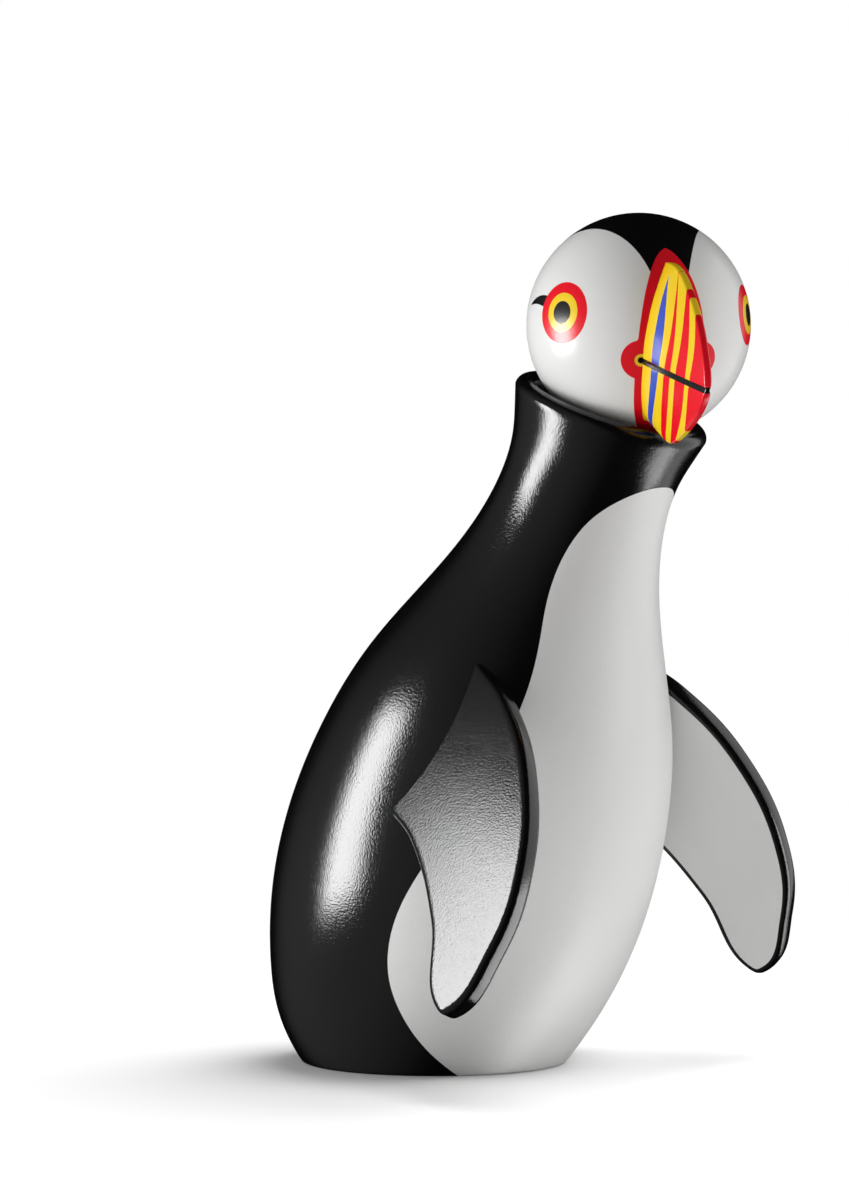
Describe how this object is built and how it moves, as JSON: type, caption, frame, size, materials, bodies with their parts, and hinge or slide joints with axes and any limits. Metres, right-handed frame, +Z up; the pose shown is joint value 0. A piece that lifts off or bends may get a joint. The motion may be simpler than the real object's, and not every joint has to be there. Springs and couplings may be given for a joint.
{
  "type": "puffin figurine",
  "caption": "Turned and lacquered wooden puffin with a leaning teardrop body, splayed plate wings and a ball head with a striped wedge beak that turns, tilts and nods on the neck.",
  "frame": {"origin": "where the leaning axis of the turned body meets the surface that the bird stands on", "axes": "+Z up, the bird's body faces -Y, its left wing is at +X"},
  "size_m": [0.0956, 0.1018, 0.147],
  "materials": {
    "black_lacquer": "gloss black lacquer over turned wood, with a white lacquered belly",
    "head_lacquer": "gloss white lacquer over a turned ball, with a black crown, ringed eyes and a red border round the beak",
    "beak_lacquer": "gloss lacquer in red, yellow and blue bands",
    "bare_beech": "bare beech",
    "steel": "bright steel",
    "brass": "turned brass"
  },
  "bodies": {
    "torso": {"body": "black_lacquer", "right_wing": "black_lacquer", "left_wing": "black_lacquer", "right_wing_pin_upper": "bare_beech", "right_wing_pin_lower": "bare_beech", "left_wing_pin_upper": "bare_beech", "left_wing_pin_lower": "bare_beech", "base_plug": "bare_beech"},
    "spindle": {"neck_spindle": "steel", "tension_spring": "steel", "spring_washer": "steel", "spindle_nut": "steel"},
    "swivel": {"swivel_barrel": "brass"},
    "head": {"head_ball": "head_lacquer", "head_pin": "steel", "beak": "beak_lacquer", "beak_dowel": "bare_beech"}
  },
  "joints": [
    {"name": "head_turn", "type": "hinge", "parent": "torso", "child": "spindle", "pos_m": [0, -0.05017, 0.12802], "axis": [0, -0.3649, 0.9311], "continuous": true},
    {"name": "head_tilt", "type": "hinge", "parent": "spindle", "child": "swivel", "pos_m": [0, -0.05017, 0.12802], "axis": [0.5813, 0.7576, 0.2969], "range_deg": [-1.5, 27]},
    {"name": "head_nod", "type": "hinge", "parent": "swivel", "child": "head", "pos_m": [0, -0.05017, 0.12802], "axis": [-0.7934, 0.6088, 0], "range_deg": [0, 14]}
  ]
}
